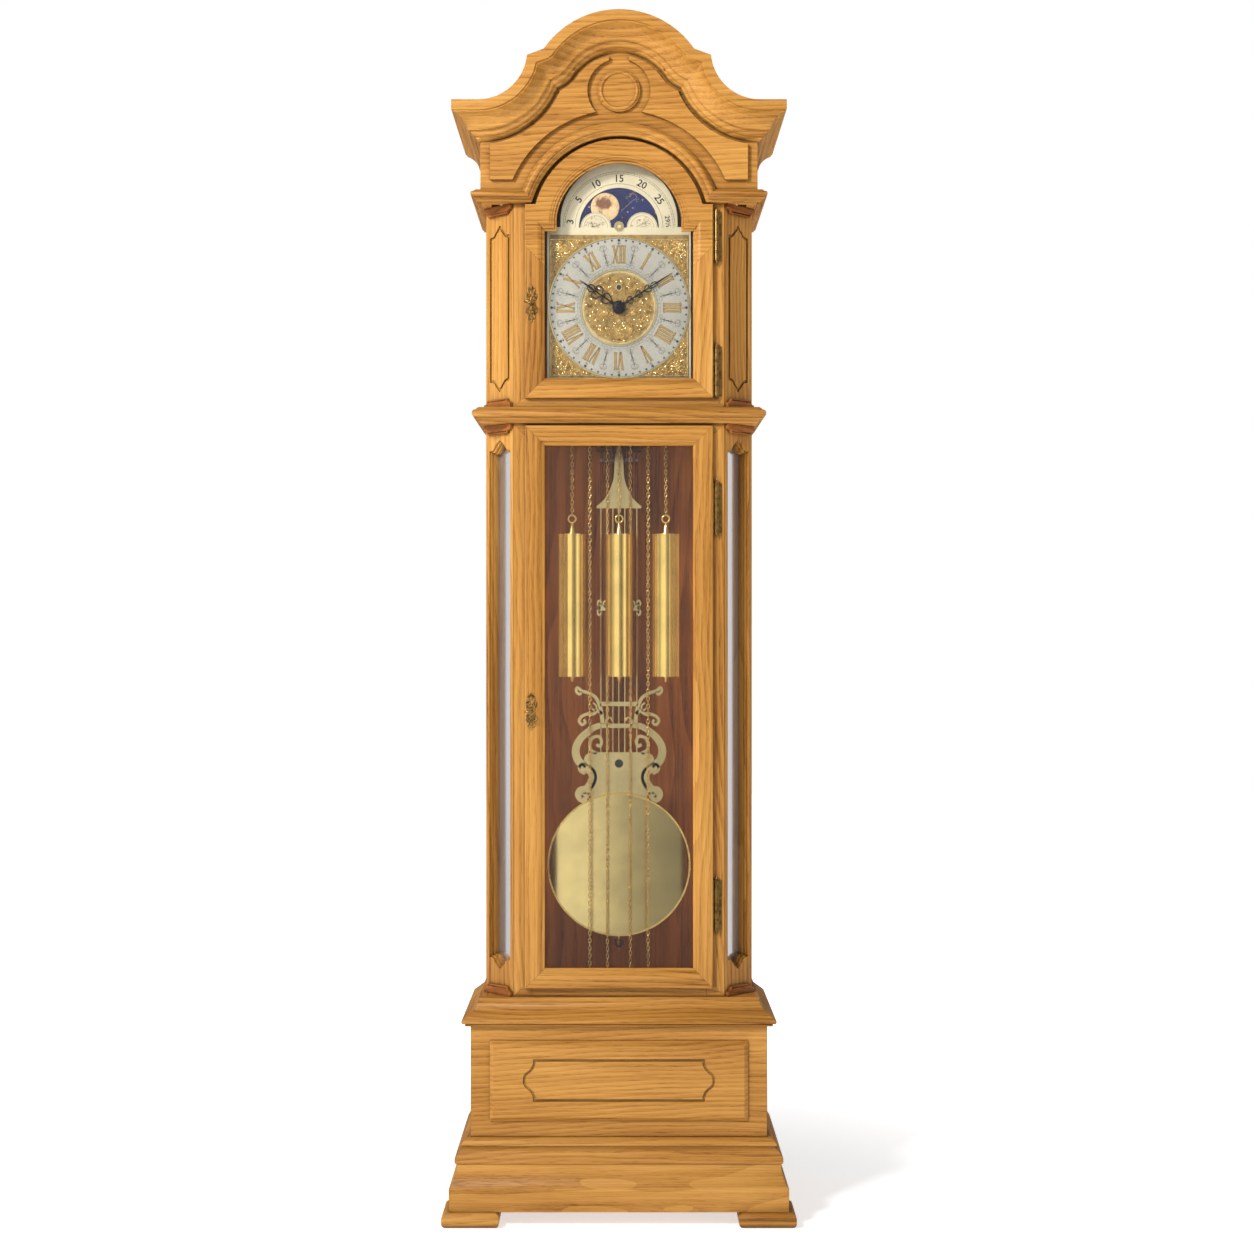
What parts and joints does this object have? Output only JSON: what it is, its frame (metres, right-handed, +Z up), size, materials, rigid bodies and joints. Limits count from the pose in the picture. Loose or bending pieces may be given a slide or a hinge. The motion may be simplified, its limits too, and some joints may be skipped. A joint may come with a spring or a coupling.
{
  "type": "grandfather clock",
  "caption": "Tall oak long-case clock with arched hood, moon dial, glazed doors, lyre pendulum, hanging brass weights and chime rods.",
  "frame": {"origin": "on the floor, below the middle of the case", "axes": "+X to the viewer's right, +Y towards the wall, +Z up"},
  "size_m": [0.598, 0.33, 2.054],
  "materials": {
    "oak": "satin lacquer",
    "walnut": "satin lacquer",
    "clear_glass": "clear, bevelled",
    "bevelled_glass": "silvered, bevelled",
    "brass": "lacquered",
    "aged_brass": "aged",
    "polished_brass": "polished",
    "satin_brass": "brushed",
    "movement_brass": "machined",
    "dial_brass": "satin",
    "gilt": "cast relief",
    "silvered": "spun satin",
    "moon_enamel": "printed",
    "black_steel": "blackened",
    "steel": "machined",
    "chime_bronze": "dark bronze"
  },
  "bodies": {
    "case": {"feet": "oak", "plinth": "oak", "plinth_moulding": "oak", "base_box": "oak", "base_floor": "oak", "base_panel": "oak", "waist_moulding": "oak", "case_sides": "oak", "back_board": "walnut", "corner_posts": "oak", "corner_glass": "bevelled_glass", "corner_blocks": "oak", "trunk_front_frame": "oak", "hood_moulding": "oak", "hood_front_frame": "oak", "arch_moulding": "oak", "cornice": "oak", "pediment_board": "oak", "pediment_panels": "oak", "hood_top_case": "oak", "case_hinge_leaves": "brass", "dial_plate": "dial_brass", "chapter_ring": "silvered", "dial_relief": "gilt", "movement_frame": "movement_brass", "seat_board": "oak", "strike_weight_chain": "brass", "going_weight_chain": "brass", "chime_weight_chain": "brass", "strike_free_chain": "brass", "going_free_chain": "brass", "chime_free_chain": "brass", "chime_rods": "chime_bronze"},
    "trunk_door": {"trunk_door_frame": "oak", "trunk_door_glass": "clear_glass", "trunk_door_escutcheon": "aged_brass", "trunk_door_hinge_leaves": "brass"},
    "hood_door": {"hood_door_frame": "oak", "hood_door_glass": "clear_glass", "hood_door_escutcheon": "aged_brass", "hood_door_hinge_leaves": "brass"},
    "trunk_key": {"trunk_key": "aged_brass"},
    "hood_key": {"hood_key": "aged_brass"},
    "hour_hand": {"hour_hand": "black_steel"},
    "minute_hand": {"minute_hand": "black_steel"},
    "moon_disc": {"moon_disc": "moon_enamel"},
    "strike_sprocket": {"strike_sprocket": "movement_brass"},
    "going_sprocket": {"going_sprocket": "movement_brass"},
    "chime_sprocket": {"chime_sprocket": "movement_brass"},
    "escape_wheel": {"escape_wheel": "movement_brass"},
    "anchor": {"anchor_and_crutch": "steel"},
    "strike_weight": {"strike_weight": "polished_brass"},
    "going_weight": {"going_weight": "polished_brass"},
    "chime_weight": {"chime_weight": "polished_brass"},
    "pendulum": {"pendulum_header": "satin_brass", "pendulum_rods": "satin_brass", "pendulum_lyre": "satin_brass", "pendulum_bob": "satin_brass"},
    "rating_nut": {"rating_nut": "brass"},
    "chime_hammers": {"chime_hammers": "steel"}
  },
  "joints": [
    {"name": "trunk_door_hinge", "type": "hinge", "parent": "case", "child": "trunk_door", "pos_m": [0.167, -0.103, 0.876], "axis": [0, 0, 1], "range_deg": [0, 110]},
    {"name": "hood_door_hinge", "type": "hinge", "parent": "case", "child": "hood_door", "pos_m": [0.167, -0.103, 1.565], "axis": [0, 0, 1], "range_deg": [0, 110]},
    {"name": "trunk_key_turn", "type": "hinge", "parent": "trunk_door", "child": "trunk_key", "pos_m": [-0.15, -0.11, 0.868], "axis": [0, 1, 0], "range_deg": [0, 90]},
    {"name": "hood_key_turn", "type": "hinge", "parent": "hood_door", "child": "hood_key", "pos_m": [-0.15, -0.11, 1.565], "axis": [0, 1, 0], "range_deg": [0, 90]},
    {"name": "minute_hand_turn", "type": "hinge", "parent": "case", "child": "minute_hand", "pos_m": [0, -0.08, 1.5635], "axis": [0, 1, 0], "continuous": true},
    {"name": "hour_hand_turn", "type": "hinge", "parent": "case", "child": "hour_hand", "pos_m": [0, -0.08, 1.5635], "axis": [0, 1, 0], "continuous": true},
    {"name": "moon_disc_turn", "type": "hinge", "parent": "case", "child": "moon_disc", "pos_m": [0, -0.069, 1.702], "axis": [0, 1, 0], "continuous": true},
    {"name": "pendulum_swing", "type": "hinge", "parent": "case", "child": "pendulum", "pos_m": [0, 0.03575, 1.59], "axis": [0, 1, 0], "range_deg": [-3, 3]},
    {"name": "anchor_rock", "type": "hinge", "parent": "case", "child": "anchor", "pos_m": [0, 0, 1.624], "axis": [0, 1, 0], "range_deg": [-2, 2]},
    {"name": "escape_wheel_turn", "type": "hinge", "parent": "case", "child": "escape_wheel", "pos_m": [0, -0.02, 1.59], "axis": [0, 1, 0], "continuous": true},
    {"name": "rating_nut_turn", "type": "hinge", "parent": "pendulum", "child": "rating_nut", "pos_m": [0, 0.03575, 0.45], "axis": [0, 0, 1], "continuous": true},
    {"name": "chime_hammer_lift", "type": "hinge", "parent": "case", "child": "chime_hammers", "pos_m": [0, 0.08, 1.352], "axis": [1, 0, 0], "range_deg": [-20, 10]},
    {"name": "strike_weight_drop", "type": "slide", "parent": "case", "child": "strike_weight", "axis": [0, 0, 1], "range_m": [-0.7, 0.15], "deforming": ["strike_weight_chain", "strike_free_chain"]},
    {"name": "strike_sprocket_turn", "type": "hinge", "parent": "case", "child": "strike_sprocket", "pos_m": [-0.0665, -0.02, 1.5], "axis": [0, 1, 0], "range_deg": [-2593, 559]},
    {"name": "going_weight_drop", "type": "slide", "parent": "case", "child": "going_weight", "axis": [0, 0, 1], "range_m": [-0.7, 0.15], "deforming": ["going_weight_chain", "going_free_chain"]},
    {"name": "going_sprocket_turn", "type": "hinge", "parent": "case", "child": "going_sprocket", "pos_m": [-0.01, -0.02, 1.5], "axis": [0, 1, 0], "range_deg": [-843, 3918]},
    {"name": "chime_weight_drop", "type": "slide", "parent": "case", "child": "chime_weight", "axis": [0, 0, 1], "range_m": [-0.7, 0.15], "deforming": ["chime_weight_chain", "chime_free_chain"]},
    {"name": "chime_sprocket_turn", "type": "hinge", "parent": "case", "child": "chime_sprocket", "pos_m": [0.0665, -0.02, 1.5], "axis": [0, 1, 0], "range_deg": [-559, 2593]}
  ],
  "couplings": [
    {"joint": "hour_hand_turn", "follows": "minute_hand_turn", "ratio": 0.083333},
    {"joint": "moon_disc_turn", "follows": "minute_hand_turn", "ratio": 0.00070621},
    {"joint": "anchor_rock", "follows": "pendulum_swing", "ratio": 0.5143},
    {"joint": "strike_sprocket_turn", "follows": "strike_weight_drop", "rad_per_m": 64.516},
    {"joint": "going_sprocket_turn", "follows": "going_weight_drop", "rad_per_m": -97.561},
    {"joint": "chime_sprocket_turn", "follows": "chime_weight_drop", "rad_per_m": -64.516}
  ]
}
